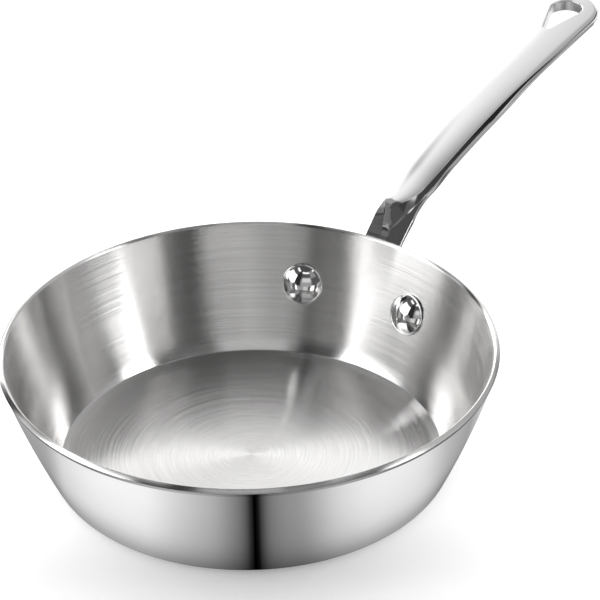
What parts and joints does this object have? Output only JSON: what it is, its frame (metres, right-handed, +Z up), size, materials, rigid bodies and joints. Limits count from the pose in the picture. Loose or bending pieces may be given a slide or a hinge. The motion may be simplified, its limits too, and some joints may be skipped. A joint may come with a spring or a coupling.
{
  "type": "saute pan",
  "caption": "Shallow round pan with a flared wall and pouring lip in bonded three-ply sheet, and a long riveted cast handle pierced for hanging.",
  "frame": {"origin": "centre of the flat underside", "axes": "+Z up along the bowl's axis, +X along the handle away from the bowl"},
  "size_m": [0.4065, 0.204, 0.08],
  "materials": {
    "satin_steel": "satin, brushed round the axis",
    "aluminium_core": "mill finish, hidden",
    "mirror_steel": "mirror polished stainless steel",
    "polished_cast_steel": "mirror polished cast stainless steel",
    "rivet_steel": "polished stainless steel"
  },
  "bodies": {
    "root": {"inner_ply": "satin_steel", "core_ply": "aluminium_core", "outer_ply": "mirror_steel", "handle": "polished_cast_steel", "rivet_left": "rivet_steel", "rivet_right": "rivet_steel"}
  },
  "joints": []
}
